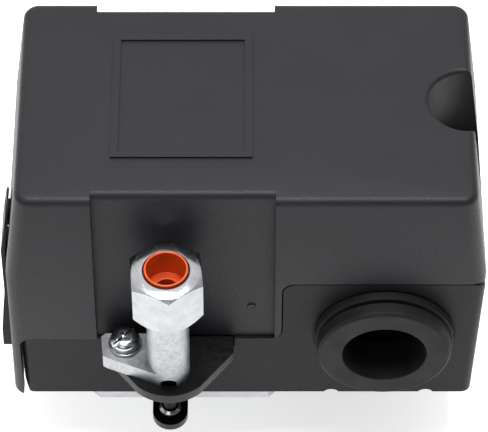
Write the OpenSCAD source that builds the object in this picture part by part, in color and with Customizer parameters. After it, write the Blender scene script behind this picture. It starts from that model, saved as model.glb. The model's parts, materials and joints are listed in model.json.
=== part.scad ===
// Pressure switch for a small air compressor, with an unloader valve on its front.
// Origin: centre of the inlet port's mouth, +Z up, the front with the valve towards -Y.
// Heights named *_h are measured from the underside of the base moulding.

/* [Body] */
// Width of the body at the split line
body_w = 108; // [90:1:140]
// Depth of the body at the split line
body_d = 63; // [56:1:84]
// Distance from the port axis to the middle of the body
body_off = 13.8; // [10:0.1:20]
// Height of the cover's top
cover_h = 69.3; // [62:0.1:90]
// How far each end wall leans in at the top
draft_x = 3; // [0:0.5:4]
// How far the front and back walls lean in at the top
draft_y = 2; // [0:0.5:3]
// Wall thickness of both mouldings
wall = 2; // [1.6:0.1:2.6]
// Thickness of the base's floor
floor_t = 2; // [1.6:0.1:2.4]
// Radius of the upright corners
corner_r = 3.5; // [3:0.5:5]
// Radius of the cover's top edge
edge_r = 1.8; // [1:0.1:2.5]
// Parting gap between cover and base
split_gap = 0.3; // [0.2:0.05:0.5]
// Parting line height beside the lever works
split_low_h = 21.9; // [18:0.1:26]
// Parting line height around the contact chamber
split_high_h = 42.5; // [40:0.1:48]
// Distance from the port axis to the step in the parting line
step_x = 22.2; // [21.5:0.1:24]
// Radius of the parting line's corners
split_r = 3; // [2:0.5:5]

/* [Front band and label frame] */
// Width of the sunk band on front and back
band_w = 40.7; // [36:0.1:42]
// Depth of the band at the top edge
band_top_depth = 1.9; // [1:0.1:3]
// Depth of the band at the parting line
band_low_depth = 1; // [1:0.1:1.5]
// Label frame's size along X
label_w = 31.5; // [24:0.5:36]
// Label frame's size along Y
label_d = 36.2; // [24:0.1:40]
// Width of the frame's bars
label_bar = 1.7; // [1:0.1:3]
// Height of the frame above the cover
label_rise = 0.5; // [0.3:0.1:1]

/* [Cover screw] */
// Radius of the well above the cover screw
well_r = 8.5; // [7:0.5:9]
// Distance from the body's end wall to the well's axis
well_in = 4.5; // [3:0.5:6]
// Thread diameter of the cover screw
cover_screw_d = 4; // [3:0.5:5]

/* [Inlet] */
// Height of the base's underside above the port's mouth
port_drop = 22; // [20:0.5:30]
// Radius of the threaded port
port_r = 5.9; // [4.5:0.1:6]
// Threaded length of the port
port_len = 13; // [10:0.5:14]
// Width across flats of the port's hexagon
port_af = 22; // [20:0.5:24]
// Side of the square die-cast flange
flange_w = 42; // [41:0.5:44]
// Thickness of the flange
flange_t = 6; // [5:0.5:8]
// Width of the steel plate under the base
plate_w = 43; // [42.5:0.5:46]
// Thickness of the steel plate
plate_t = 2.4; // [1.5:0.1:3]
// Distance of the flange screws from the port axis, along X and Y
flange_screw_at = 16; // [15.5:0.1:16.5]
// Thickness of the diaphragm
diaphragm_t = 1.2; // [0.8:0.1:2]
// Radius of the piston's foot
piston_foot_r = 13.5; // [10:0.5:14]
// Radius of the piston's neck
piston_r = 4; // [3:0.5:4.5]

/* [Lever works] */
// Thickness of the steel frame
frame_t = 1.5; // [1:0.1:2]
// Half width between the frame's cheeks
cheek_in = 17; // [16.5:0.1:18]
// Thickness of the pressure lever
lever_t = 2; // [1.5:0.1:3]
// Half width of the pressure lever
lever_half_w = 15; // [14:0.5:16]
// Width of the tongue that reaches out under the valve
tongue_w = 8.1; // [6:0.1:10]
// Distance from the port axis to the lever's pivot
pivot_y = 22; // [20:0.5:24]
// Radius of the pivot pin
pivot_r = 2; // [1.5:0.1:2.5]
// Outside radius of the range spring
range_spring_r = 10; // [8:0.1:10.2]
// Wire diameter of the range spring
range_wire = 2.4; // [1.5:0.1:2.6]
// Free height of the range spring as set
range_spring_len = 36; // [30:0.5:40]
// Thread diameter of the range stud
range_stud_d = 8; // [6:0.5:8.5]
// Distance from the port axis to the range stud
range_y = 11; // [10.9:0.1:11.5]
// Outside radius of the differential spring
diff_spring_r = 5; // [4:0.1:5.5]
// Wire diameter of the differential spring
diff_wire = 1.2; // [0.8:0.1:1.4]
// Height of the differential spring as set
diff_spring_len = 22; // [16:0.5:26]
// Thread diameter of the differential stud
diff_stud_d = 5; // [4:0.5:5.5]
// Distance from the port axis to the differential stud
diff_y = 12; // [11:0.1:13]

/* [Unloader valve] */
// Distance from the port axis to the valve's axis, along X
valve_x = -3.7; // [-6:0.1:0]
// Distance from the front wall to the valve's axis
valve_out = 8.4; // [8.4:0.1:12]
// Height of the bracket's top face
bracket_h = 21.3; // [19:0.1:21.6]
// Thickness of the bracket
bracket_t = 2.8; // [2:0.1:3.5]
// Half width of the bracket where it leaves the body
bracket_half_w = 14.7; // [13:0.1:15.5]
// Radius of the valve's post
post_r = 4.8; // [4.5:0.1:5.5]
// Height of the post under the nut
post_len = 23.3; // [18:0.1:28]
// Thickness of the valve's mounting lug
lug_t = 4; // [3:0.5:5]
// Width across flats of the tube nut
nut_af = 15.6; // [14:0.1:15.6]
// Height of the tube nut
nut_len = 13.5; // [12:0.1:18]
// Radius of the hole in the nut's top
nut_hole_r = 5.3; // [5:0.1:6]
// Outside radius of the tube sleeve
sleeve_r = 4.9; // [4.5:0.1:5.2]
// Bore radius of the sleeve, where the tube goes in
sleeve_bore_r = 4.4; // [3.5:0.1:4.5]
// Depth of the tube seat in the sleeve
sleeve_seat = 7; // [5:0.5:8]
// Radius of the valve pin
pin_r = 1.5; // [1:0.1:1.8]
// Diameter of the trip screw in the tongue
trip_d = 5; // [4:0.5:6]

/* [Cable entries] */
// Distance from the port axis to the cable entries
entry_x = 45.3; // [43:0.1:47]
// Height of the cable entries
entry_h = 23.8; // [20:0.1:24.5]
// Radius of the grommet's outer flange
grommet_r = 15.85; // [14:0.05:16]
// Radius of the grommet's hole
grommet_hole_r = 9.6; // [7:0.1:10]
// How far the grommet stands out of the wall
grommet_proud = 5.9; // [4:0.1:8]
// Length of the grommet's neck outside the wall
grommet_neck = 2.4; // [1:0.1:3]

/* [Contacts] */
// Distance between neighbouring terminals
terminal_pitch = 8.5; // [8.5:0.1:9]
// Distance from the port axis to the terminal screws
terminal_x = 51; // [49:0.5:51]
// Distance from the port axis to the contact tips
contact_x = 40; // [38:0.5:41]
// Height of the contact block's top
block_h = 14; // [12:0.5:14.5]

/* [Auto and off lever] */
// Height of the lever's pivot
knob_h = 50; // [47:0.5:52]
// Distance of the lever's pivot in front of the port axis
knob_y = 16.5; // [12:0.5:18]
// Width of the lever
knob_w = 11; // [8:0.5:13]
// Radius of the lever's shaft
knob_shaft_r = 3; // [2:0.5:4]

/* [Hidden] */
$fn = 64;

// Clearances
free = 0.2;         // clearance of a screw or stud in a plain hole, on the radius
run = 0.04;         // running clearance of a pin in its bore, on the radius
thread = 0.02;      // gap between a thread and its hole, on the radius
seat = 0.02;        // gap under a part that rests on another
over = 1;           // overshoot of a cut past a face

// Body planes
left_x = body_off - body_w / 2;
right_x = body_off + body_w / 2;
front_y = -body_d / 2;
back_y = body_d / 2;
drain_x = [entry_x - 11.5, entry_x + 10.6];
skirt_out = 0.3;    // how far the end skirt spreads below the split
base_left_x = left_x + wall + split_gap;
base_foot_in = 1.3; // how far the base's right wall leans in at its foot
base_corner_r = 2.2; // radius of the base's upright corners
base_foot_y = 0.8;  // how far its front and back walls lean in at the foot
top_in_h = cover_h - wall;
widest_h = split_high_h + 0.6;

// Lever works, from the floor up
web_h = floor_t + frame_t;
lever_low_h = web_h + 0.5;
lever_h = lever_low_h + lever_t;
pivot_h = lever_h + 3;
cheek_h = 14;
tongue_r = tongue_w / 2;
valve_y = front_y - valve_out;
tongue_tip_y = valve_y - 4.5;
wall_in_y = front_y + wall;
bracket_in_y = -range_y - range_spring_r - 1;
cap_t = 2.5;
bracket_screw_x = 12.5;
bracket_screw_y = wall_in_y + 4.2;
ear_w = 10;         // side of the ears that carry the ground screws
ground_x = cheek_in + frame_t + 4.5;
ground_y = 21;
range_cap_h = lever_h + range_spring_len;
diff_cap_h = lever_h + diff_spring_len;
trip_h = lever_h + 1.6;

// Unloader valve, from the bracket up
nut_low_h = bracket_h + post_len + 0.6;
nut_top_h = nut_low_h + nut_len;
spigot_h = nut_low_h + 8;
spigot_r = nut_af / 2 - 2;
chamber_r = 3.2;
chamber_h = bracket_h + 6;
sleeve_low_h = spigot_h - 6;
sleeve_top_h = nut_top_h + 0.6;
lug_reach = 15.3;   // from the valve's axis to the lug's far end
valve_screw_x = valve_x - 10;
valve_screw_y = valve_y + 4.4;
valve_screw_d = 4;

// Label frame's middle
label_x = -0.5;
label_y = 1.2;

// Cover screw
well_x = right_x - well_in;
ledge_t = 2.4;      // thickness of the well's floor
ledge_h = split_high_h + split_gap + ledge_t;
cover_screw_x = well_x - 1.8;

// Contact works
terminals = [for (k = [-1.5 : 1 : 1.5]) k * terminal_pitch];
poles = [-terminal_pitch, terminal_pitch];
plate_metal = 1;
tip_h = block_h + plate_metal + 1;
bridge_h = tip_h + 1;
bar_h = bridge_h + 4;
block_x0 = 28;
block_x1 = terminal_x + 5;
block_half = 2 * terminal_pitch + 1;
trench_half = 4;
foot_y = -15;

module lift() { translate([0, 0, port_drop]) children(); }

module hex_prism(af, t) { cylinder(d = af / cos(30), h = t, $fn = 6); }

// Block with leaning walls and a rounded top edge, through a list of [height, [x0, x1, y0, y1]].
module leaning_block(levels, r, edge) {
    last = len(levels) - 1;
    hull() for (i = [0 : last], x = [0, 1], y = [0, 1], a = i == last ? [0 : 22.5 : 90] : [0])
        translate([levels[i][1][x] + (1 - 2 * x) * r, levels[i][1][2 + y] + (1 - 2 * y) * r,
                   levels[i][0] - (i == last ? edge * (1 - sin(a)) + 0.01 : 0)])
            cylinder(r = r - edge * (1 - cos(a)), h = 0.01, $fn = 32);
}

// Levels of the cover's outline, at an inset from its outer faces.
function cover_levels(inset, h0, h1) = [
    [h0, [left_x - skirt_out + inset, right_x - inset, front_y + inset, back_y - inset]],
    [widest_h, [left_x + inset, right_x - inset, front_y + inset, back_y - inset]],
    [h1, [left_x + draft_x + inset, right_x - draft_x - inset,
          front_y + draft_y + inset, back_y - draft_y - inset]]];

module cover_block() { leaning_block(cover_levels(0, 0, cover_h), corner_r, edge_r); }

// Points along an arc about [x, y], for outlines.
function arc(x, y, r, a0, a1) =
    [for (i = [0 : 6]) let (a = a0 + (a1 - a0) * i / 6) [x + r * cos(a), y + r * sin(a)]];

// Room below the parting line, grown by a gap: a low part, a raised part and a fillet between.
module split_region(grow) {
    x0 = base_left_x - grow;
    x1 = right_x + grow;
    xs = step_x - grow;
    low = split_low_h - split_gap + grow;
    high = split_high_h - split_gap + grow;
    r = split_r;
    rotate([90, 0, 0]) linear_extrude(height = body_d + 10, center = true) polygon(concat(
        [[x0, -over]], arc(x0 + r, low - r, r, 180, 90), arc(xs - r, low + r, r, 270, 360),
        arc(xs + r, high - r, r, 180, 90), arc(x1 - r, high - r, r, 90, 0), [[x1, -over]]));
}

// The room in front of the sunk band's face, at an inset behind it.
module band_room(inset) {
    y_top = front_y + draft_y + band_top_depth + inset;
    y_low = front_y + band_low_depth + inset;
    half = band_w / 2 + inset;
    translate([-half, 0, 0]) rotate([90, 0, 90]) linear_extrude(height = 2 * half)
        polygon(concat([[front_y - 10, split_low_h - 4], [y_low, split_low_h - 4]],
                       arc(y_top + edge_r, cover_h - edge_r, edge_r, 180, 90),
                       [[y_top + edge_r, cover_h + over], [front_y - 10, cover_h + over]]));
}

module both_bands(inset) {
    band_room(inset);
    mirror([0, 1, 0]) band_room(inset);
}

// The hollow moulding, with solid left around the screw well.
module cover_shell() {
    difference() {
        cover_block();
        difference() {
            leaning_block(cover_levels(wall, -over, top_in_h), corner_r - wall + 0.8, 0.8);
            both_bands(wall);
            translate([well_x, 0, ledge_h - ledge_t]) cylinder(r = well_r + wall, h = cover_h);
        }
        both_bands(0);
    }
}

module well_cut() {
    round = 1.2;
    translate([well_x, 0, ledge_h]) cylinder(r = well_r, h = cover_h);
    translate([well_x, 0, cover_h - round]) rotate_extrude() difference() {
        square([well_r + round, round + over]);
        translate([well_r + round, 0]) circle(r = round);
    }
    translate([cover_screw_x, 0, ledge_h - ledge_t - over])
        cylinder(d = cover_screw_d + 2 * free, h = ledge_t + 2 * over);
}

module label_frame() {
    translate([label_x - label_w / 2, label_y - label_d / 2, cover_h - 0.2]) difference() {
        cube([label_w, label_d, label_rise + 0.2]);
        translate([label_bar, label_bar, -over])
            cube([label_w - 2 * label_bar, label_d - 2 * label_bar, label_rise + 2 + over]);
    }
}

module cover() {
    color("#3b3c3f") lift() difference() {
        union() {
            cover_shell();
            label_frame();
        }
        well_cut();
        split_region(split_gap);
        translate([left_x - over, -knob_y, knob_h]) rotate([0, 90, 0])
            cylinder(r = knob_shaft_r + run, h = wall + draft_x + 2 * over);
    }
}

module cover_screw() {
    head_t = 3;
    color("silver") lift() translate([cover_screw_x, 0, ledge_h + seat]) difference() {
        union() {
            cylinder(d = 8, h = head_t);
            translate([0, 0, -20]) cylinder(d = cover_screw_d, h = 20.5);
        }
        for (a = [0, 90]) rotate(a) translate([-2.4, -0.5, head_t - 1.6]) cube([4.8, 1, 2]);
    }
}

// Floor openings of the base: the piston's room and the flange screws.
module floor_cuts() {
    translate([0, 0, -over]) cylinder(r = piston_foot_r + 1, h = floor_t + 2 * over);
    for (x = [-1, 1], y = [-1, 1])
        translate([x * flange_screw_at, y * flange_screw_at, -over])
            cylinder(d = 4 + 2 * free, h = floor_t + 2 * over);
}

module entry_cut(side) {
    translate([entry_x, side * (body_d / 2 + over), entry_h]) rotate([side * 90, 0, 0]) {
        cylinder(r = grommet_r - 2.4, h = wall + 2 * over);
        cylinder(r = grommet_r + 0.5, h = over + 0.6);
    }
}

module base() {
    foot = [base_left_x, right_x - base_foot_in, front_y + base_foot_y, back_y - base_foot_y];
    rim = [base_left_x, right_x, front_y, back_y];
    in_foot = foot + [wall, -wall, wall, -wall];
    in_rim = rim + [wall, -wall, wall, -wall];
    color("#2b2c2e") lift() difference() {
        union() {
            intersection() {
                split_region(0);
                difference() {
                    leaning_block([[0, foot], [split_high_h, rim]], base_corner_r, 0);
                    leaning_block([[floor_t, in_foot], [split_high_h + over, in_rim]], 0.5, 0);
                }
            }
            translate([cover_screw_x, 0, floor_t - 0.5])
                cylinder(r = 4, h = split_high_h - split_gap - floor_t);
            translate([cover_screw_x, -1, floor_t - 0.5])
                cube([right_x - wall - cover_screw_x, 2, split_high_h - split_gap - floor_t - 4]);
        }
        floor_cuts();
        for (side = [-1, 1]) entry_cut(side);
        translate([cover_screw_x, 0, floor_t + 6])
            cylinder(d = cover_screw_d + 2 * thread, h = split_high_h);
        // Slot for the bracket, open at the parting line
        translate([valve_x - bracket_half_w - free, front_y - over, bracket_h - bracket_t - seat])
            cube([2 * (bracket_half_w + free), wall + 2 * over, 10]);
        // Slot for the lever's tongue
        translate([valve_x - tongue_r - 0.8, front_y - over, lever_low_h - 0.6])
            cube([tongue_w + 1.6, wall + 3 * over, lever_t + 5]);
        // Drain notches in the front edge
        for (x = drain_x)
            translate([x, front_y + base_foot_y + wall, -0.9]) rotate([90, 0, 0])
                cylinder(r = 1.9, h = wall + over, $fn = 32);
        // Chamfer at the left foot
        translate([base_left_x, 0, 0]) rotate([90, 0, 0])
            linear_extrude(height = body_d + 2, center = true)
                polygon([[-over, -over], [1.2, -over], [-0.2, 5.2], [-over, 5.2]]);
        // Threaded holes of the contact block's screws
        for (s = [-1, 1]) translate([block_x0 + 4, s * (block_half - 4), -over])
            cylinder(d = 3 + 2 * thread, h = floor_t + 2 * over);
    }
}

module mount_plate() {
    half = plate_w / 2;
    depth = body_d - 2 * base_foot_y;
    cut = 1.7;
    color("gainsboro") lift() translate([-0.7, 0, -plate_t - seat]) difference() {
        linear_extrude(height = plate_t) difference() {
            square([plate_w, depth], center = true);
            for (x = [-1, 1], y = [-1, 1])
                translate([x * half, y * depth / 2]) rotate(45)
                    square(cut * sqrt(2), center = true);
        }
        translate([0.7, 0, -over]) {
            cylinder(r = piston_foot_r + 0.5, h = plate_t + 2 * over);
            for (x = [-1, 1], y = [-1, 1]) translate([x * flange_screw_at, y * flange_screw_at, 0])
                cylinder(d = 4 + 2 * free, h = plate_t + 2 * over);
        }
    }
}

module inlet_flange() {
    top_h = -plate_t - diaphragm_t - 3 * seat;
    low_h = top_h - flange_t;
    half = flange_w / 2;
    r = 4;
    color("#b9bcc0") lift() difference() {
        union() {
            translate([0, 0, low_h]) linear_extrude(height = flange_t) {
                square([flange_w, flange_w - 2 * r], center = true);
                square([flange_w - 2 * r, flange_w], center = true);
                for (x = [-1, 1], y = [-1, 1])
                    translate([x * (half - r), y * (half - r)]) circle(r = r);
            }
            translate([0, 0, -port_drop]) hex_prism(port_af, port_drop + low_h + 0.5);
        }
        translate([0, 0, -port_drop - over]) cylinder(r = port_r, h = port_len + over);
        translate([0, 0, -port_drop]) cylinder(r = 3, h = port_drop);
        translate([0, 0, top_h - 1.5]) cylinder(r = piston_foot_r - 1, h = 3);
        for (x = [-1, 1], y = [-1, 1])
            translate([x * flange_screw_at, y * flange_screw_at, low_h - over])
                cylinder(d = 4 + 2 * free, h = flange_t + 3);
    }
}

module flange_screws() {
    low_h = -plate_t - diaphragm_t - 3 * seat - flange_t;
    color("silver") lift() for (x = [-1, 1], y = [-1, 1])
        translate([x * flange_screw_at, y * flange_screw_at, 0]) difference() {
            union() {
                translate([0, 0, low_h - 3]) cylinder(d = 7, h = 3 - seat);
                translate([0, 0, low_h - 1]) cylinder(d = 4, h = web_h - low_h + 1);
            }
            translate([0, 0, low_h - 3 - over]) hex_prism(3, 1.8 + over);
        }
}

module diaphragm() {
    color("#26262a") lift() translate([0, 0, -plate_t - diaphragm_t - 2 * seat])
        cylinder(r = piston_foot_r + 5, h = diaphragm_t);
}

module piston() {
    foot_h = -plate_t;
    color("ivory") lift() {
        translate([0, 0, foot_h]) cylinder(r = piston_foot_r, h = 2);
        translate([0, 0, foot_h + 1]) cylinder(r = piston_r, h = lever_low_h - foot_h - 1 - seat);
    }
}

module frame() {
    half = cheek_in + frame_t;
    y0 = wall_in_y + 1.2;
    y1 = back_y - wall - base_foot_y - 0.6;
    ear_h = bracket_h - bracket_t - frame_t;
    color("gainsboro") lift() difference() {
        union() {
            translate([-half, y0, floor_t + seat]) cube([2 * half, y1 - y0, frame_t - seat]);
            // Ears that carry the ground screws
            for (s = [-1, 1]) translate([half - 1, s * ground_y - ear_w / 2, floor_t + seat])
                cube([ear_w, ear_w, frame_t - seat]);
            for (s = [-1, 1]) translate([s > 0 ? cheek_in : -half, y0, floor_t + seat])
                cube([frame_t, y1 - y0, cheek_h - floor_t - seat]);
            // Risers and folded tabs that carry the unloader bracket
            for (s = [-1, 1]) {
                translate([s > 0 ? cheek_in : -half, y0, floor_t + seat])
                    cube([frame_t, 6, ear_h + frame_t - floor_t - seat]);
                translate([s > 0 ? 8 : -half, y0, ear_h]) cube([half - 8, 6, frame_t - seat]);
            }
        }
        translate([0, 0, floor_t - over]) cylinder(r = piston_r + 0.8, h = frame_t + 2 * over);
        translate([0, -range_y, floor_t - over])
            cylinder(d = range_stud_d + 2 * thread, h = frame_t + 2 * over);
        translate([0, diff_y, floor_t - over])
            cylinder(d = diff_stud_d + 2 * thread, h = frame_t + 2 * over);
        for (x = [-1, 1], y = [-1, 1])
            translate([x * flange_screw_at, y * flange_screw_at, floor_t - over])
                cylinder(d = 4 + 2 * thread, h = frame_t + 2 * over);
        for (s = [-1, 1]) translate([ground_x, s * ground_y, floor_t - over])
            cylinder(d = 4 + 2 * thread, h = frame_t + 2 * over);
        translate([-half - over, pivot_y, pivot_h]) rotate([0, 90, 0])
            cylinder(r = pivot_r + thread, h = 2 * half + 2 * over);
        for (s = [-1, 1]) translate([s * bracket_screw_x, bracket_screw_y, ear_h - over])
            cylinder(d = 3 + 2 * thread, h = frame_t + 2 * over);
    }
}

module pressure_lever() {
    ear_y = pivot_y - 4;
    color("#2a2b2d") lift() difference() {
        union() {
            translate([-lever_half_w, wall_in_y + 2.6, lever_low_h])
                cube([2 * lever_half_w, pivot_y + 3 - wall_in_y - 2.6, lever_t]);
            translate([valve_x - tongue_r, tongue_tip_y + tongue_r, lever_low_h])
                cube([tongue_w, wall_in_y + 4 - tongue_tip_y - tongue_r, lever_t]);
            translate([valve_x, tongue_tip_y + tongue_r, lever_low_h])
                cylinder(r = tongue_r, h = lever_t);
            for (s = [-1, 1]) {
                translate([s > 0 ? lever_half_w - 2 : -lever_half_w, ear_y, lever_low_h])
                    cube([2, 7, pivot_h - lever_low_h]);
                translate([s > 0 ? lever_half_w - 2 : -lever_half_w, pivot_y, pivot_h])
                    rotate([0, 90, 0]) cylinder(r = 3.5, h = 2);
            }
        }
        translate([0, -range_y, lever_low_h - over])
            cylinder(d = range_stud_d + 3, h = lever_t + 2 * over);
        translate([0, diff_y, lever_low_h - over])
            cylinder(d = diff_stud_d + 2, h = lever_t + 2 * over);
        translate([valve_x, valve_y, lever_low_h - over])
            cylinder(d = trip_d + 2 * thread, h = lever_t + 2 * over);
        translate([-lever_half_w - over, pivot_y, pivot_h]) rotate([0, 90, 0])
            cylinder(r = pivot_r + run, h = 2 * lever_half_w + 2 * over);
    }
}

module lever_pin() {
    half = cheek_in + frame_t;
    color("silver") lift() translate([-half - 2, pivot_y, pivot_h]) rotate([0, 90, 0]) {
        cylinder(r = pivot_r, h = 2 * half + 3);
        cylinder(r = pivot_r + 1.2, h = 2 - seat);
    }
}

module trip_screw() {
    low_h = lever_low_h - 2.5;
    chamfer = 0.6;
    color("silver") lift() translate([valve_x, valve_y, 0]) difference() {
        union() {
            translate([0, 0, low_h]) cylinder(d = trip_d, h = trip_h - low_h - chamfer);
            translate([0, 0, trip_h - chamfer])
                cylinder(d1 = trip_d, d2 = trip_d - 2 * chamfer, h = chamfer);
        }
        translate([-trip_d, -0.5, low_h - over]) cube([2 * trip_d, 1, 1.2 + over]);
    }
}

// Plain rod that stands for a threaded stud, with a chamfered tip.
module stud(d, h0, h1) {
    translate([0, 0, h0]) cylinder(d = d, h = h1 - h0 - 0.8);
    translate([0, 0, h1 - 0.8]) cylinder(d1 = d, d2 = d - 1.4, h = 0.8);
}

module range_stud() {
    color("silver") lift() translate([0, -range_y, 0])
        stud(range_stud_d, floor_t + seat, range_cap_h + 17);
}

module diff_stud() {
    color("silver") lift() translate([0, diff_y, 0])
        stud(diff_stud_d, floor_t + seat, diff_cap_h + 13);
}

// Compression spring with closed ends, standing on z = 0.
module coil_spring(outer_r, wire, len, turns, sides = 8, steps = 20) {
    r = outer_r - wire / 2;
    dead = wire * 1.04;
    rise = len - wire - 2 * dead - 2 * seat;
    function climb(t) = t < 1 ? dead * t
        : t > turns - 1 ? dead + rise + dead * (t - turns + 1)
        : dead + rise * (t - 1) / (turns - 2);
    n = turns * steps;
    points = [for (i = [0 : n], k = [0 : sides - 1])
        let (a = 360 * i / steps, b = 360 * k / sides, q = r + wire / 2 * cos(b))
        [q * cos(a), q * sin(a), seat + wire / 2 + climb(i / steps) + wire / 2 * sin(b)]];
    skin = [for (i = [0 : n - 1], k = [0 : sides - 1])
        let (k2 = (k + 1) % sides)
        [i * sides + k, i * sides + k2, (i + 1) * sides + k2, (i + 1) * sides + k]];
    ends = [[for (k = [sides - 1 : -1 : 0]) k], [for (k = [0 : sides - 1]) n * sides + k]];
    polyhedron(points = points, faces = concat(skin, ends), convexity = 10);
}

module range_spring() {
    color("#9c9ea2") lift() translate([0, -range_y, lever_h])
        coil_spring(range_spring_r, range_wire, range_spring_len, 8);
}

module diff_spring() {
    color("#9c9ea2") lift() translate([0, diff_y, lever_h])
        coil_spring(diff_spring_r, diff_wire, diff_spring_len, 9, 6, 16);
}

// Cap on a spring, with a collar that centres the coils.
module spring_cap(outer_r, wire, stud_d) {
    difference() {
        union() {
            cylinder(r = outer_r, h = cap_t);
            translate([0, 0, -1.5]) cylinder(r = outer_r - wire - 0.3, h = 2);
        }
        translate([0, 0, -3]) cylinder(d = stud_d + 2 * free, h = cap_t + 5);
    }
}

module range_cap() {
    color("gainsboro") lift() translate([0, -range_y, range_cap_h])
        spring_cap(range_spring_r, range_wire, range_stud_d);
}

module diff_cap() {
    color("gainsboro") lift() translate([0, diff_y, diff_cap_h])
        spring_cap(diff_spring_r, diff_wire, diff_stud_d);
}

// Hexagon nut with both rims turned off round.
module hex_nut(af, t, hole_d) {
    difference() {
        intersection() {
            hex_prism(af, t);
            union() {
                translate([0, 0, 0.6]) cylinder(r = af * 0.6, h = t - 1.2);
                cylinder(r1 = af * 0.52, r2 = af * 0.6, h = 0.6);
                translate([0, 0, t - 0.6]) cylinder(r1 = af * 0.6, r2 = af * 0.52, h = 0.6);
            }
        }
        translate([0, 0, -over]) cylinder(d = hole_d + 2 * thread, h = t + 2 * over);
    }
}

module range_nut() {
    color("gainsboro") lift() translate([0, -range_y, range_cap_h + cap_t + seat])
        hex_nut(13, 7.5, range_stud_d);
}

module diff_nut() {
    color("gainsboro") lift() translate([0, diff_y, diff_cap_h + cap_t + seat])
        hex_nut(8, 4.5, diff_stud_d);
}

module unloader_bracket() {
    nose_y = valve_y - 7.2;
    shoulder_y = front_y - 3.4;
    nose_r = 10.7;
    color("#202124") lift() translate([0, 0, bracket_h - bracket_t]) difference() {
        linear_extrude(height = bracket_t) {
            polygon(concat([[valve_x - bracket_half_w, wall_in_y + 0.6], [valve_x - bracket_half_w, shoulder_y]],
                [for (a = [-42 : 6 : 42])
                    [valve_x + nose_r * sin(a), nose_y + nose_r * (1 - cos(a))]],
                [[valve_x + bracket_half_w, shoulder_y], [valve_x + bracket_half_w, wall_in_y + 0.6]]));
            translate([-16, wall_in_y + 0.5]) square([32, bracket_in_y - wall_in_y - 0.5]);
        }
        translate([valve_x, valve_y, -over])
            cylinder(r = pin_r + free, h = bracket_t + 2 * over);
        translate([valve_screw_x, valve_screw_y, -over])
            cylinder(d = valve_screw_d + 2 * thread, h = bracket_t + 2 * over);
        for (s = [-1, 1]) translate([s * bracket_screw_x, bracket_screw_y, -over])
            cylinder(d = 3 + 2 * free, h = bracket_t + 2 * over);
    }
}

// Pan head screw with a cross recess, head resting on z = 0.
module pan_screw(d, head_d, head_t, len, slot) {
    dome = head_t * 0.5;
    difference() {
        union() {
            cylinder(d = head_d, h = head_t - dome);
            translate([0, 0, head_t - dome - 0.01])
                cylinder(d1 = head_d, d2 = head_d - 1.6 * dome, h = dome);
            translate([0, 0, -len]) cylinder(d = d, h = len + 0.2);
        }
        for (a = [0, 90]) rotate(a)
            translate([-head_d * (a == 0 ? slot : 0.27), -d * 0.11, head_t - 1.2])
                cube([head_d * 2 * (a == 0 ? slot : 0.27), d * 0.22, 2]);
    }
}

module bracket_screws() {
    color("silver") lift() for (s = [-1, 1])
        translate([s * bracket_screw_x, bracket_screw_y, bracket_h + seat])
            pan_screw(3, 5, 2, bracket_t + frame_t, 0.27);
}

module valve_lug() {
    x0 = valve_x - lug_reach;
    linear_extrude(height = lug_t) polygon([
        [x0 - 0.2, front_y - 1.8], [x0 + 0.8, front_y - 0.9], [valve_x - 1, front_y - 0.9],
        [valve_x + 1, valve_y], [valve_x - 1.6, valve_y - post_r + 0.28],
        [x0 + 1.2, valve_y + 0.6], [x0 + 0.3, valve_y + 1.2]]);
}

module valve_body() {
    color("#c9cbce") lift() difference() {
        union() {
            translate([valve_x, valve_y, bracket_h + seat]) {
                cylinder(r = post_r, h = post_len);
                translate([0, 0, post_len - 2.6]) cylinder(r = post_r + 0.6, h = 5.6);
                translate([0, 0, post_len - 1])
                    cylinder(r1 = post_r + 0.5, r2 = post_r + 1.8, h = 1.6 - 2 * seat);
                translate([0, 0, nut_low_h - bracket_h + 0.5])
                    cylinder(r = spigot_r, h = spigot_h - nut_low_h - 0.5);
            }
            translate([0, 0, bracket_h + seat]) valve_lug();
        }
        translate([valve_x, valve_y, 0]) {
            cylinder(r = pin_r + run, h = spigot_h + over);
            translate([0, 0, chamber_h]) cylinder(r = chamber_r, h = spigot_h);
            translate([0, 0, sleeve_low_h]) cylinder(r = sleeve_r + run, h = spigot_h);
            // Vent from the guide bore to the front
            translate([0, -post_r - over, bracket_h + 0.8]) rotate([-90, 0, 0])
                cylinder(r = 1.9, h = post_r + over);
        }
        translate([valve_screw_x, valve_screw_y, bracket_h - over])
            cylinder(d = valve_screw_d + 2 * free, h = lug_t + 2 * over);
    }
}

module valve_washer() {
    color("silver") lift() translate([valve_screw_x, valve_screw_y, bracket_h + lug_t + 2 * seat])
        difference() {
            cylinder(d = 7.6, h = 0.8);
            translate([0, 0, -over]) cylinder(d = valve_screw_d + 2 * free, h = 3);
        }
}

module valve_screw() {
    under_h = bracket_h + lug_t + 0.8 + 3 * seat;
    color("silver") lift() translate([valve_screw_x, valve_screw_y, under_h])
        rotate(8) pan_screw(valve_screw_d, 6.8, 2.6, under_h - bracket_h + bracket_t + 0.8, 0.52);
}

module valve_pin() {
    color("#2a2b2d") lift() translate([valve_x, valve_y, trip_h + 0.3]) {
        cylinder(r = pin_r, h = chamber_h - trip_h);
        translate([0, 0, chamber_h + seat - trip_h - 0.3]) cylinder(r = 2.7, h = 2);
    }
}

module valve_spring() {
    color("#9c9ea2") lift() translate([valve_x, valve_y, chamber_h + 2 + seat])
        coil_spring(2.6, 0.6, sleeve_low_h - chamber_h - 2 - 2 * seat, 8, 6, 12);
}

module tube_sleeve() {
    color("#c8460f") lift() translate([valve_x, valve_y, sleeve_low_h + seat]) difference() {
        cylinder(r = sleeve_r, h = sleeve_top_h - sleeve_low_h - seat);
        translate([0, 0, -over]) cylinder(r = 2.5, h = 40);
        translate([0, 0, sleeve_top_h - sleeve_low_h - seat - sleeve_seat])
            cylinder(r = sleeve_bore_r, h = sleeve_seat + over);
    }
}

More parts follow.
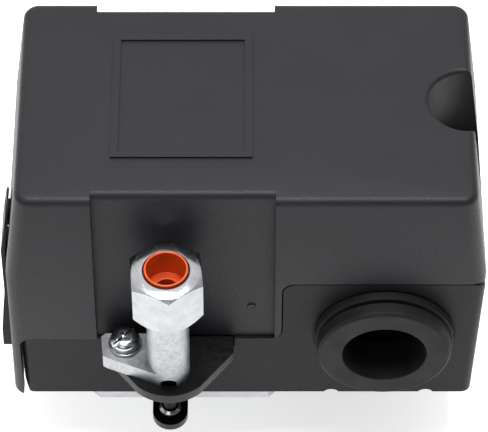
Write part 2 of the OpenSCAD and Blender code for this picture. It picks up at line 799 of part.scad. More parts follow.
module tube_nut() {
    bevel = 1.1;
    taper = 2.8;
    wide = nut_af / 2 / cos(30);
    color("whitesmoke") lift() translate([valve_x, valve_y, nut_low_h + seat]) difference() {
        intersection() {
            rotate(34.7) hex_prism(nut_af, nut_len);
            union() {
                cylinder(r1 = nut_af / 2 - 0.9, r2 = wide + 0.3, h = taper);
                translate([0, 0, taper]) cylinder(r = wide + 0.3, h = nut_len - taper - bevel);
                translate([0, 0, nut_len - bevel])
                    cylinder(r1 = wide + 0.3, r2 = nut_af / 2 - 0.3, h = bevel);
            }
        }
        translate([0, 0, -over]) cylinder(r = post_r + 0.6 + free, h = 2 * over + 1);
        translate([0, 0, 0.5]) cylinder(r = spigot_r + thread, h = spigot_h - nut_low_h);
        translate([0, 0, spigot_h - nut_low_h]) cylinder(r = nut_hole_r, h = nut_len);
    }
}

// Cable grommet for the front wall, mirrored for the back.
module grommet() {
    neck_r = grommet_r - 2.6;
    inner_t = 2;
    face = -front_y + grommet_proud;
    back = -wall_in_y - base_foot_y;
    bevel = 0.7;
    rim_r = grommet_r - 0.6;
    collar_y = -front_y - 0.5;
    rim_y = -front_y + grommet_neck;
    translate([entry_x, 0, entry_h]) rotate([90, 0, 0]) rotate_extrude() polygon([
        [grommet_hole_r, back - inner_t], [grommet_r - 0.6, back - inner_t],
        [grommet_r - 0.6, back], [neck_r, back],
        [neck_r, collar_y], [grommet_r, collar_y], [grommet_r, rim_y - 0.5],
        [rim_r - 1, rim_y - 0.5], [rim_r - 1, rim_y], [rim_r, rim_y],
        [rim_r, face - bevel], [rim_r - bevel, face], [grommet_hole_r, face]]);
}

module grommet_front() { color("#232427") lift() grommet(); }

module grommet_back() { color("#232427") lift() mirror([0, 1, 0]) grommet(); }

module contact_block() {
    color("#5a3a26") lift() difference() {
        translate([block_x0, -block_half, floor_t + seat])
            cube([block_x1 - block_x0, 2 * block_half, block_h - floor_t - seat]);
        translate([contact_x - trench_half, -block_half - over, 7])
            cube([2 * trench_half, 2 * block_half + 2 * over, block_h]);
        for (y = terminals) translate([terminal_x, y, 6]) cylinder(d = 4 + 2 * thread, h = block_h);
        for (s = [-1, 1]) translate([block_x0 + 4, s * (block_half - 4), 0]) {
            cylinder(d = 3 + 2 * free, h = block_h + over);
            translate([0, 0, block_h - 4]) cylinder(d = 6.4, h = block_h);
        }
    }
}

module block_screws() {
    color("silver") lift() for (s = [-1, 1])
        translate([block_x0 + 4, s * (block_half - 4), block_h - 4 + seat])
            pan_screw(3, 5.6, 2, block_h - 4.5, 0.3);
}

module terminal_plates() {
    color("#c9a24a") lift() for (y = terminals) {
        side = (y > 0 ? 1 : -1) * (abs(y) > terminal_pitch ? 1 : -1);
        difference() {
            union() {
                translate([contact_x + trench_half + 1, y - 3, block_h + seat])
                    cube([terminal_x + 3.5 - contact_x - trench_half - 1, 6, plate_metal]);
                translate([contact_x - 1.5, y - 1.5 + side * 0.4, block_h + seat])
                    cube([trench_half + 4, 3, plate_metal]);
                translate([contact_x, y + side * 0.4, block_h + seat])
                    cylinder(r = 1.4, h = plate_metal + 1 - seat);
            }
            translate([terminal_x, y, block_h - over])
                cylinder(d = 4 + 2 * free, h = plate_metal + 2 * over);
        }
    }
}

module clamp_washers() {
    color("#d8d8da") lift() for (y = terminals)
        translate([terminal_x - 3.5, y - 3.5, block_h + plate_metal + 2 * seat]) difference() {
            cube([7, 7, 1]);
            translate([3.5, 3.5, -over]) cylinder(d = 4 + 2 * free, h = 3);
        }
}

module terminal_screws() {
    color("#c9a24a") lift() for (y = terminals)
        translate([terminal_x, y, block_h + plate_metal + 1 + 3 * seat])
            pan_screw(4, 6.6, 2.6, 8, 0.3);
}

// Yoke that the pressure lever lifts, with a post for each contact bridge.
module contact_carrier() {
    foot_x = lever_half_w - 2.4;
    color("ivory") lift() {
        translate([foot_x, foot_y - 1, lever_h + seat]) cube([2, 2, bar_h + 2 - lever_h - seat]);
        translate([foot_x, foot_y - 1, bar_h]) cube([contact_x + 2 - foot_x, 2, 2]);
        translate([contact_x - 2, foot_y - 1, bar_h]) cube([4, terminal_pitch * 2 + 10, 2]);
        for (y = poles) translate([contact_x, y, 0]) {
            translate([0, 0, tip_h - 3]) cylinder(r = 1.2, h = bar_h - tip_h + 3.5);
            translate([0, 0, tip_h - 3.2]) cylinder(r = 2.2, h = 2);
        }
    }
}

module contact_bridges() {
    color("#b8733a") lift() for (y = poles)
        translate([contact_x, y, tip_h + seat]) difference() {
            translate([-1.6, -terminal_pitch / 2 - 2, 0]) cube([3.2, terminal_pitch + 4, 1 - seat]);
            translate([0, 0, -over]) cylinder(r = 1.2 + free, h = 3);
        }
}

module bridge_springs() {
    color("#9c9ea2") lift() for (y = poles) translate([contact_x, y, bridge_h])
        coil_spring(2.2, 0.5, bar_h - bridge_h, 5, 6, 12);
}

module ground_screws() {
    color("#2f8f4a") lift() for (s = [-1, 1])
        translate([ground_x, s * ground_y, web_h + seat])
            pan_screw(4, 7.5, 2.6, frame_t - 0.1, 0.3);
}

// Lever on the cover's end wall: a hub, an arm that follows the wall, and a thicker grip.
module on_off_lever() {
    lean = draft_x / (cover_h - split_high_h);
    hub_r = knob_w / 2;
    grip_low_h = 5.5;
    x_hub = left_x + lean * (knob_h - split_high_h) - 0.55;
    x_low = left_x - skirt_out - 0.3;
    inner_x = left_x + wall + draft_x;
    color("#2b2c2e") lift() {
        intersection() {
            rotate([90, 0, 0]) translate([0, 0, knob_y - hub_r])
                linear_extrude(height = 2 * hub_r)
                polygon([[x_hub + lean * hub_r, knob_h + hub_r], [x_hub - lean * 7.5, split_high_h],
                         [x_low, grip_low_h], [x_low - 2.3, grip_low_h], [x_low - 2.2, 13],
                         [x_low - 1.5, 21.3], [x_low - 0.9, 26.6],
                         [x_hub - 0.9 - lean * 7.5, split_high_h],
                         [x_hub - 0.5 + lean * hub_r, knob_h + hub_r]]);
            rotate([0, 90, 0]) linear_extrude(height = 2 * (body_w), center = true) {
                translate([-knob_h, -knob_y]) circle(r = hub_r);
                translate([-knob_h, -knob_y - knob_w / 2]) square([knob_h - grip_low_h - 2, knob_w]);
                translate([-grip_low_h - 2.1, -knob_y - knob_w / 2 + 2]) square([2.1, knob_w - 4]);
                for (s = [-1, 1])
                    translate([-grip_low_h - 2, -knob_y + s * (knob_w / 2 - 2)]) circle(r = 2);
            }
        }
        translate([x_hub - 0.4, -knob_y, knob_h]) rotate([0, 90, 0])
            cylinder(r = knob_shaft_r, h = inner_x - x_hub + 3);
    }
}

module lever_clip() {
    clip_r = 5.5;
    lean = draft_x / (top_in_h - split_high_h);
    x_in = left_x + wall + lean * (knob_h + clip_r - split_high_h) + seat;
    color("gainsboro") lift() translate([x_in, -knob_y, knob_h]) rotate([0, 90, 0]) difference() {
        cylinder(r = clip_r, h = 1);
        translate([0, 0, -over]) cylinder(r = knob_shaft_r + run, h = 3);
    }
}

base();
cover();
cover_screw();
mount_plate();
inlet_flange();
flange_screws();
diaphragm();
piston();
frame();
pressure_lever();
lever_pin();
trip_screw();
range_stud();
range_spring();
range_cap();
range_nut();
diff_stud();
diff_spring();
diff_cap();
diff_nut();
unloader_bracket();
bracket_screws();
valve_body();
valve_screw();
valve_washer();
valve_pin();
valve_spring();
tube_sleeve();
tube_nut();
grommet_front();
grommet_back();
contact_block();
block_screws();
terminal_plates();
terminal_screws();
clamp_washers();
contact_carrier();
contact_bridges();
bridge_springs();
ground_screws();
on_off_lever();
lever_clip();
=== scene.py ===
"""Finishes, threads, screws and studio for a small compressor's pressure switch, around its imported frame."""

import json
import math

import bmesh
import bpy
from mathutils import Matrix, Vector


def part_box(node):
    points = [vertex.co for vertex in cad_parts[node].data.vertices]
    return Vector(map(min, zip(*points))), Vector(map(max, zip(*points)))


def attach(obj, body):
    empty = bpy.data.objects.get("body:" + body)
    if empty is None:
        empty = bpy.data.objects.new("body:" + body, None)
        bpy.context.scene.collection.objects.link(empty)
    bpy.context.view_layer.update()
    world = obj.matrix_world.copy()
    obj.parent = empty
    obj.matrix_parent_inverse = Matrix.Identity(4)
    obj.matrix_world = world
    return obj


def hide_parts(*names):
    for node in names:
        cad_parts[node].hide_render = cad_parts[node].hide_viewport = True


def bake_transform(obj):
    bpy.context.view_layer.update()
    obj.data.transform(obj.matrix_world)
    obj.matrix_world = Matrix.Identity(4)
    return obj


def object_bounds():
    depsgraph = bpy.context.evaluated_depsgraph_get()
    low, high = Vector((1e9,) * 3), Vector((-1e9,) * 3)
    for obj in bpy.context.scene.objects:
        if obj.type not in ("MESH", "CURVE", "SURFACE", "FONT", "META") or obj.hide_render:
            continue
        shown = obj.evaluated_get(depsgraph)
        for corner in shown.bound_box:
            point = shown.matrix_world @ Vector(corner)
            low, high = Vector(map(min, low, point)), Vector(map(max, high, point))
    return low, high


bl_info = {
    "name": "Compressor pressure switch",
    "version": (1, 0, 0),
    "blender": (4, 5, 0),
    "location": "3D View > Sidebar > Switch",
    "description": "Gives a pressure switch its finishes, threads, screws and studio",
    "category": "Object",
}

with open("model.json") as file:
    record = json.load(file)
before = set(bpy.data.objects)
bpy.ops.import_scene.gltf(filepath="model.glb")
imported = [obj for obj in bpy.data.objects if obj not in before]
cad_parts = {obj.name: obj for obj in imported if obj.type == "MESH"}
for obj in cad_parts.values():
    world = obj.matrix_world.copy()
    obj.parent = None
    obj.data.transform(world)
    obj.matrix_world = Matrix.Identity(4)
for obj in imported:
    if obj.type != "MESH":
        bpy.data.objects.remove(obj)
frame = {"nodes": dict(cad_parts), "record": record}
CAD_BOX = [list(corner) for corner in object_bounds()]
MM = 0.001
BODY = {node: body for body, nodes in frame["record"]["behaviour"]["bodies"].items() for node in nodes}
SLOT = {part["node"]: part["material_slot"] for part in frame["record"]["subparts"]}
SHORT_EDGE = 0.03 * MM  # slivers shorter than this would hold back a bevel
SAME_POINT = 0.001 * MM  # corners nearer than this are one corner
FLAT = math.radians(0.4)  # faces that meet at less than this are one face
SHARP = math.radians(32)  # edges steeper than this are real edges, flatter ones are round stretches
PORT_PITCH = 1.34 * MM  # pitch of the inlet port's pipe thread
ROWS_A_TURN = 8.0  # rings of faces in one turn of a thread
THREAD_DEPTH = 0.55  # a groove's depth as a share of the pitch
END_TAPER = 0.6  # how steeply a thread's ends are chamfered
DEEPEST_CUT = 0.75  # the most that groove and chamfer take away together, as a share of the pitch
CLOSED_TURN = 2.08  # climb of a spring's closed end turn, in wire radii
EVEN = (1, 1, 1)  # a pattern that isn't stretched


def linear(code):
    """An sRGB hex value as a linear colour."""
    parts = [int(code[i:i + 2], 16) / 255 for i in (1, 3, 5)]
    return [p / 12.92 if p <= 0.04045 else ((p + 0.055) / 1.055) ** 2.4 for p in parts] + [1.0]


# ---------------------------------------------------------------- sizes and colours

def length(name, description, value_mm):
    """A size property, from its default in millimetres."""
    return bpy.props.FloatProperty(name=name, description=description, default=value_mm * MM,
                                   min=0, unit="LENGTH", precision=5)


def colour(name, description, code):
    """A colour property, from its default as an sRGB hex value."""
    return bpy.props.FloatVectorProperty(name=name, description=description, default=linear(code),
                                         size=4, min=0, max=1, subtype="COLOR")


class SwitchSizes(bpy.types.PropertyGroup):
    """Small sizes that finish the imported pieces."""
    moulding_edge: length("Moulding edge", "Rounding along the mouldings' hard edges", 0.3)
    rubber_edge: length("Rubber edge", "Rounding along the grommets' lips", 0.35)
    cast_edge: length("Casting edge", "Rounding along the die-cast parts' edges", 0.35)
    nut_edge: length("Nut edge", "Rounding along the tube nut's edges", 0.22)
    sheet_edge: length("Sheet edge", "Rounding left on stamped metal by tumbling", 0.15)
    range_pitch: length("Range thread pitch", "Thread pitch of the range stud", 1.25)
    diff_pitch: length("Differential thread pitch", "Thread pitch of the differential stud", 0.8)
    screw_pitch: length("Screw thread pitch", "Thread pitch of the small screws", 0.7)
    gate_radius: length("Gate mark", "Radius of the moulding's gate mark on the front band", 1.0)


class SwitchColours(bpy.types.PropertyGroup):
    """Colours of the switch's materials."""
    cover: colour("Cover", "Cover moulding", "#1A1A1E")
    base: colour("Base", "Base moulding", "#131316")
    rubber: colour("Rubber", "Cable grommets and diaphragm", "#131315")
    casting: colour("Casting", "Zinc die castings", "#A9ABAE")
    nickel: colour("Nickel", "Plated tube nut", "#A6A8AA")
    zinc: colour("Zinc", "Zinc plated steel", "#A8ABAE")
    bright: colour("Bright plating", "Plated screws", "#B4B6B8")
    coated: colour("Coated steel", "Black coated steel", "#070709")
    wire: colour("Spring wire", "Spring steel wire", "#8F9196")
    orange: colour("Sleeve", "Tube sleeve", "#C04409")
    phenolic: colour("Phenolic", "Contact block", "#4A2E1E")
    brass: colour("Brass", "Terminals and valve pin", "#D2A860")
    copper: colour("Copper", "Contact bridges", "#C9855A")
    acetal: colour("Acetal", "Contact carrier and piston", "#E4DFD2")
    green: colour("Ground screws", "Green passivated screws", "#3F8F58")


class SwitchStudio(bpy.types.PropertyGroup):
    """Camera, floor and light."""
    elevation: bpy.props.FloatProperty(name="Elevation", description="Camera's height above the horizon",
                                       default=math.radians(51.5), subtype="ANGLE", unit="ROTATION")
    distance: length("Distance", "From the camera to the point that it looks at", 733.9)
    lens: bpy.props.FloatProperty(name="Focal length", description="Camera's focal length on a 36 mm sensor",
                                  default=233.1, min=10, subtype="DISTANCE_CAMERA")
    aim_right: bpy.props.FloatProperty(name="Aim sideways", description="From the cover's middle, along X",
                                       default=-0.3 * MM, unit="LENGTH")
    aim_back: bpy.props.FloatProperty(name="Aim in depth", description="From the cover's middle, along Y",
                                      default=-3.5 * MM, unit="LENGTH")
    aim_down: length("Aim height", "From the cover's top down to the point that the camera looks at", 37.8)
    floor: colour("Floor", "Colour of the floor", "#F2F2F2")
    world: bpy.props.FloatProperty(name="Surroundings", description="Brightness of the white surroundings",
                                   default=0.6, min=0)
    top_light: bpy.props.FloatProperty(name="Top light", description="Power of the wide light overhead",
                                       default=12, min=0, subtype="POWER", unit="POWER")
    front_light: bpy.props.FloatProperty(name="Front light", description="Power of the fill light in front",
                                         default=2, min=0, subtype="POWER", unit="POWER")


# ---------------------------------------------------------------- nodes

def add(tree, kind, inputs=None, **settings):
    """Adds a node with its settings, and gives each input its value or its link.

    A node given as an input's value stands for its first output.
    """
    made = tree.nodes.new(kind)
    for key, value in settings.items():
        setattr(made, key, value)
    for key, value in (inputs or {}).items():
        if isinstance(value, bpy.types.Node):
            value = value.outputs[0]
        if isinstance(value, bpy.types.NodeSocket):
            tree.links.new(value, made.inputs[key])
        else:
            made.inputs[key].default_value = value
    return made


# ---------------------------------------------------------------- materials

def start_material(name):
    """An empty material, its node tree, and the object coordinates that its patterns read."""
    material = bpy.data.materials.new(name)
    material.use_nodes = True
    tree = material.node_tree
    tree.nodes.clear()
    return material, tree, add(tree, "ShaderNodeTexCoord").outputs["Object"]


def scaled(base, factor):
    """A colour made darker or lighter."""
    return [min(1.0, c * factor) for c in base[:3]] + [1.0]


def switch_finish(name, base, patterns, tones, rough, relief, metallic=0.0, **shader):
    """A finish whose tone and roughness vary with patterns of real sizes, one of which stands in relief.

    patterns: each one's size in millimetres, detail, roughness and stretch along the axes
    tones: darkest and lightest share of the base colour, and each pattern's part in it
    rough: a pattern and the two roughnesses that it goes between
    relief: a pattern and its depth in millimetres
    """
    material, tree, place = start_material(name)
    made = {}
    for label, (size_mm, detail, harshness, stretch) in patterns.items():
        where = add(tree, "ShaderNodeMapping", {"Vector": place, "Scale": stretch})
        made[label] = add(tree, "ShaderNodeTexNoise", {
            "Vector": where, "Scale": 1 / (size_mm * MM), "Detail": detail, "Roughness": harshness})
    darkest, lightest, shares = tones
    tone = None
    for label, share in shares.items():
        part = add(tree, "ShaderNodeMapRange", {"Value": made[label], "From Min": 0.3, "From Max": 0.7,
                                                "To Min": 0, "To Max": share})
        tone = add(tree, "ShaderNodeMath", {0: tone, 1: part}, operation="ADD") if tone else part
    tinted = add(tree, "ShaderNodeMix", {0: tone, 6: scaled(base, darkest), 7: scaled(base, lightest)},
                 data_type="RGBA")
    label, low, high = rough
    dulled = add(tree, "ShaderNodeMapRange", {"Value": made[label], "From Min": 0.3, "From Max": 0.7,
                                              "To Min": low, "To Max": high})
    label, depth_mm = relief
    raised = add(tree, "ShaderNodeBump", {"Height": made[label], "Distance": depth_mm * MM, "Strength": 1.0})
    shade = add(tree, "ShaderNodeBsdfPrincipled", {
        "Base Color": tinted.outputs[2], "Metallic": metallic, "Roughness": dulled, "Normal": raised, **shader})
    add(tree, "ShaderNodeOutputMaterial", {"Surface": shade})
    return material


def eroded_nylon(name, base, sheen):
    """Black glass-filled nylon from a spark-eroded tool: dull, with a fine crust that catches small glints."""
    # The real crust is about 0.1 mm; it is drawn at half a millimetre so that it shows
    return switch_finish(
        name, base, {"crust": (0.5, 3.0, 0.6, EVEN), "cloud": (14.0, 2.0, 0.5, EVEN),
                     "fleck": (0.8, 1.0, 0.5, EVEN)},
        tones=(0.88, 1.16, {"cloud": 0.6, "fleck": 0.4}), rough=("crust", 0.56, 0.4),
        relief=("crust", 0.035), **{"IOR": 1.53, "Specular IOR Level": sheen})


def moulded_rubber(name, base):
    """Black rubber: soft broad sheen, faint bloom and a fine matt grain."""
    return switch_finish(
        name, base, {"bloom": (6.0, 3.0, 0.5, EVEN), "grain": (0.35, 2.0, 0.5, EVEN)},
        tones=(0.85, 1.25, {"bloom": 1.0}), rough=("bloom", 0.55, 0.72),
        relief=("grain", 0.012), **{"IOR": 1.5, "Specular IOR Level": 0.2})


def plated_metal(name, base, rough_low, rough_high, cloud_mm, scratch_mm, depth_mm, stretch=EVEN):
    """Plated metal: clouds of duller plating over fine tooling marks."""
    return switch_finish(
        name, base, {"cloud": (cloud_mm, 3.0, 0.5, EVEN), "marks": (scratch_mm, 3.0, 0.6, stretch)},
        tones=(0.86, 1.04, {"cloud": 1.0}), rough=("marks", rough_low, rough_high),
        relief=("marks", depth_mm), metallic=1.0)


def cast_zinc(name, base):
    """Tumbled zinc casting: grainy grey skin with smoother worn spots."""
    return switch_finish(
        name, base, {"skin": (0.9, 4.0, 0.65, EVEN), "wear": (3.5, 2.0, 0.5, EVEN)},
        tones=(0.72, 1.05, {"skin": 1.0}), rough=("wear", 0.34, 0.52),
        relief=("skin", 0.06), metallic=1.0)


def tapped_casting(name, base, radius, pitch):
    """Zinc casting with a thread cut into its faces nearer to the Z axis than a radius."""
    material = cast_zinc(name, base)
    tree = material.node_tree
    axes = add(tree, "ShaderNodeSeparateXYZ", {0: tree.nodes["Texture Coordinate"].outputs["Object"]}).outputs
    flat = add(tree, "ShaderNodeCombineXYZ", {"X": axes["X"], "Y": axes["Y"]})
    far = add(tree, "ShaderNodeVectorMath", {0: flat}, operation="LENGTH").outputs["Value"]
    inside = add(tree, "ShaderNodeMath", {0: far, 1: radius}, operation="LESS_THAN")
    angle = add(tree, "ShaderNodeMath", {0: axes["Y"], 1: axes["X"]}, operation="ARCTAN2")
    turns = add(tree, "ShaderNodeMath", {0: angle, 1: math.tau}, operation="DIVIDE")
    climb = add(tree, "ShaderNodeMath", {0: axes["Z"], 1: 1 / pitch, 2: turns}, operation="MULTIPLY_ADD")
    ridge = add(tree, "ShaderNodeMath", {0: climb, 1: 0.5}, operation="PINGPONG")
    groove = add(tree, "ShaderNodeMath", {0: ridge, 1: inside}, operation="MULTIPLY")
    raised = add(tree, "ShaderNodeBump", {"Height": groove, "Distance": 0.9 * MM, "Strength": 1.0,
                                          "Normal": tree.nodes["Bump"].outputs["Normal"]})
    tree.links.new(raised.outputs["Normal"], tree.nodes["Principled BSDF"].inputs["Normal"])
    return material


def glossy_plastic(name, base, rough=0.32, mottle=1.12):
    """Moulded plastic with a smooth skin and a slight flow mottle."""
    return switch_finish(
        name, base, {"flow": (2.5, 3.0, 0.5, (1, 1, 0.35))}, tones=(0.9, mottle, {"flow": 1.0}),
        rough=("flow", rough, rough + 0.12), relief=("flow", 0.01), IOR=1.49)


def coated_steel(name, base):
    """Steel with a thin black coat: satin, with a light orange peel."""
    return switch_finish(
        name, base, {"peel": (1.2, 2.0, 0.5, EVEN), "dust": (0.3, 2.0, 0.5, EVEN)},
        tones=(0.8, 1.4, {"dust": 1.0}), rough=("peel", 0.3, 0.46),
        relief=("peel", 0.015), **{"IOR": 1.52, "Specular IOR Level": 0.22})


MATERIALS = {}


def make_materials(colours):
    """Every material, by the record's slot, with one more that draws the base a little darker than the cover.
    """
    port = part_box("inlet_flange")
    zinc_plate = plated_metal("zinc_plated_steel", colours.zinc, 0.3, 0.48, 5.0, 0.6, 0.012, (0.15, 1, 1))
    MATERIALS.update({
        "black_moulding": eroded_nylon("eroded_nylon_cover", colours.cover, 0.2),
        "base_moulding": eroded_nylon("eroded_nylon_base", colours.base, 0.12),
        "grommet_rubber": moulded_rubber("moulded_rubber", colours.rubber),
        "zinc_plated_steel": zinc_plate,
        "plated_screws": plated_metal("bright_plated_steel", colours.bright, 0.14, 0.26, 2.0, 0.5, 0.004),
        "die_casting": cast_zinc("tumbled_zinc_casting", colours.casting),
        "tapped_casting": tapped_casting("tapped_zinc_casting", colours.casting,
                                         0.3 * (port[1].x - port[0].x) / 2, PORT_PITCH),
        "nickel_nut": plated_metal("nickel_plated_brass", colours.nickel, 0.16, 0.28, 3.0, 0.7, 0.003,
                                   (1, 1, 0.2)),
        "black_steel": coated_steel("black_coated_steel", colours.coated),
        "spring_wire": plated_metal("drawn_spring_wire", colours.wire, 0.25, 0.4, 1.5, 0.3, 0.004),
        "orange_plastic": glossy_plastic("orange_acetal", colours.orange, 0.3),
        "brown_phenolic": glossy_plastic("moulded_phenolic", colours.phenolic, 0.34, 1.3),
        "brass": plated_metal("turned_brass", colours.brass, 0.2, 0.34, 2.0, 0.4, 0.004),
        "copper": plated_metal("stamped_copper", colours.copper, 0.24, 0.4, 2.0, 0.4, 0.005),
        "white_plastic": glossy_plastic("natural_acetal", colours.acetal, 0.4, 1.04),
        "green_screws": plated_metal("green_passivated_steel", colours.green, 0.24, 0.4, 2.0, 0.5, 0.005),
    })


# ---------------------------------------------------------------- pieces

def shade_by_angle(bm):
    """Smooth faces, with edges left sharp where the surface really turns."""
    for face in bm.faces:
        face.smooth = True
    for edge in bm.edges:
        edge.smooth = len(edge.link_faces) == 2 and edge.calc_face_angle(0.0) < SHARP


def piece_from(bm, name, material):
    """A new object at the origin from a bmesh."""
    mesh = bpy.data.meshes.new(name)
    bm.to_mesh(mesh)
    bm.free()
    mesh.materials.append(material)
    piece = bpy.data.objects.new(name, mesh)
    bpy.context.scene.collection.objects.link(piece)
    return piece


def settle(piece, *nodes):
    """Rides a piece on its nodes' body, in their place."""
    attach(piece, BODY[nodes[0]])
    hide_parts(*nodes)
    return piece


def merged(node):
    """A node's mesh with its loose triangles joined and its flat faces whole."""
    source = frame["nodes"][node].data
    bm = bmesh.new()
    corners = [bm.verts.new(v.co) for v in source.vertices]
    for polygon in source.polygons:
        try:
            bm.faces.new([corners[i] for i in polygon.vertices])
        except ValueError:
            continue
    bmesh.ops.remove_doubles(bm, verts=bm.verts, dist=SAME_POINT)
    bmesh.ops.dissolve_limit(bm, angle_limit=FLAT, verts=bm.verts, edges=bm.edges)
    short = [edge for edge in bm.edges if edge.calc_length() < SHORT_EDGE]
    bmesh.ops.collapse(bm, edges=short)
    bmesh.ops.dissolve_degenerate(bm, edges=bm.edges, dist=SAME_POINT)
    return bm


def finished(node, edge, material, segments=2):
    """A copy of a node with its hard edges rounded, in place of the node."""
    bm = merged(node)
    shade_by_angle(bm)
    piece = piece_from(bm, node + "_finished", MATERIALS[material])
    rounding = piece.modifiers.new("edges", "BEVEL")
    rounding.width = edge
    rounding.segments = segments
    rounding.limit_method = "ANGLE"
    rounding.angle_limit = SHARP
    rounding.harden_normals = True
    return settle(piece, node)


def paint(*nodes):
    """Gives nodes that keep their own shape the material of their slot."""
    for node in nodes:
        mesh = frame["nodes"][node].data
        mesh.materials.clear()
        mesh.materials.append(MATERIALS[SLOT[node]])


def turned(points, steps=48):
    """A closed solid turned about the Z axis from a profile that starts and ends on it."""
    bm = bmesh.new()
    rings = []
    for radius, height in points:
        if radius < 1e-7:
            rings.append([bm.verts.new((0, 0, height))])
        else:
            rings.append([bm.verts.new((radius * math.cos(math.tau * k / steps),
                                        radius * math.sin(math.tau * k / steps), height))
                          for k in range(steps)])
    for low, high in zip(rings, rings[1:]):
        for k in range(steps):
            n = (k + 1) % steps
            corners = [low[k % len(low)], low[n % len(low)], high[n % len(high)], high[k % len(high)]]
            bm.faces.new(list(dict.fromkeys(corners)))
    bmesh.ops.recalc_face_normals(bm, faces=bm.faces)
    return bm


# ---------------------------------------------------------------- geometry node trees

def new_tree(name, sockets):
    """A geometry node tree with named inputs, and its input and output nodes."""
    tree = bpy.data.node_groups.new(name, "GeometryNodeTree")
    tree.interface.new_socket(name="Geometry", in_out="OUTPUT", socket_type="NodeSocketGeometry")
    for label, kind, value in sockets:
        socket = tree.interface.new_socket(name=label, in_out="INPUT", socket_type="NodeSocket" + kind)
        if value is not None:
            socket.default_value = value
    return tree, add(tree, "NodeGroupInput").outputs


def close_tree(tree, geometry, material):
    """Ends a tree in real geometry with its material."""
    real = add(tree, "GeometryNodeRealizeInstances", {"Geometry": geometry})
    dressed = add(tree, "GeometryNodeSetMaterial", {"Geometry": real, "Material": material})
    add(tree, "NodeGroupOutput", {"Geometry": dressed})
    return tree


def thread_part(tree, ins):
    """A threaded rod: a fine cylinder whose wall is drawn in along a helix, with chamfered ends."""
    count = add(tree, "ShaderNodeMath", {0: ins["Length"], 1: ins["Pitch"]}, operation="DIVIDE")
    rows = add(tree, "ShaderNodeMath", {0: count, 1: ROWS_A_TURN}, operation="MULTIPLY")
    rod = add(tree, "GeometryNodeMeshCylinder", {"Vertices": 36, "Side Segments": rows,
                                                 "Radius": ins["Radius"], "Depth": ins["Length"]})
    axes = add(tree, "ShaderNodeSeparateXYZ", {0: add(tree, "GeometryNodeInputPosition")}).outputs
    # The groove goes once round the rod for each pitch that it climbs
    angle = add(tree, "ShaderNodeMath", {0: axes["Y"], 1: axes["X"]}, operation="ARCTAN2")
    turn = add(tree, "ShaderNodeMath", {0: angle, 1: math.tau}, operation="DIVIDE")
    level = add(tree, "ShaderNodeMath", {0: axes["Z"], 1: ins["Pitch"]}, operation="DIVIDE")
    climb = add(tree, "ShaderNodeMath", {0: level, 1: turn}, operation="SUBTRACT")
    wave = add(tree, "ShaderNodeMath", {0: climb, 1: 0.5}, operation="PINGPONG")
    ridge = add(tree, "ShaderNodeMath", {0: wave, 1: 2.0}, operation="MULTIPLY")
    flank = add(tree, "ShaderNodeMath", {0: ridge, 1: ins["Pitch"]}, operation="MULTIPLY")
    groove = add(tree, "ShaderNodeMath", {0: flank, 1: THREAD_DEPTH}, operation="MULTIPLY")
    # The last pitch at either end is chamfered
    half = add(tree, "ShaderNodeMath", {0: ins["Length"], 1: 0.5}, operation="MULTIPLY")
    away = add(tree, "ShaderNodeMath", {0: axes["Z"]}, operation="ABSOLUTE")
    left = add(tree, "ShaderNodeMath", {0: half, 1: away}, operation="SUBTRACT")
    short = add(tree, "ShaderNodeMath", {0: ins["Pitch"], 1: left}, operation="SUBTRACT")
    taper = add(tree, "ShaderNodeMath", {0: short, 1: 0.0}, operation="MAXIMUM")
    chamfer = add(tree, "ShaderNodeMath", {0: taper, 1: END_TAPER}, operation="MULTIPLY")
    both = add(tree, "ShaderNodeMath", {0: groove, 1: chamfer}, operation="ADD")
    most = add(tree, "ShaderNodeMath", {0: ins["Pitch"], 1: DEEPEST_CUT}, operation="MULTIPLY")
    inward = add(tree, "ShaderNodeMath", {0: both, 1: most}, operation="MINIMUM")
    depth = add(tree, "ShaderNodeMath", {0: inward, 1: -1.0}, operation="MULTIPLY")
    flat = add(tree, "ShaderNodeCombineXYZ", {"X": axes["X"], "Y": axes["Y"]})
    out = add(tree, "ShaderNodeVectorMath", {0: flat}, operation="NORMALIZE")
    step = add(tree, "ShaderNodeVectorMath", {0: out, "Scale": depth}, operation="SCALE")
    cut = add(tree, "GeometryNodeSetPosition", {"Geometry": rod.outputs["Mesh"], "Offset": step})
    return add(tree, "GeometryNodeTransform", {"Geometry": cut, "Translation": ins["Middle"]})


def rod_tree():
    """One threaded rod, standing on its place."""
    tree, ins = new_tree("threaded rod", [
        ("Radius", "Float", 4 * MM), ("Length", "Float", 50 * MM), ("Pitch", "Float", 1.25 * MM),
        ("Middle", "Vector", None), ("Material", "Material", None)])
    return close_tree(tree, thread_part(tree, ins), ins["Material"])


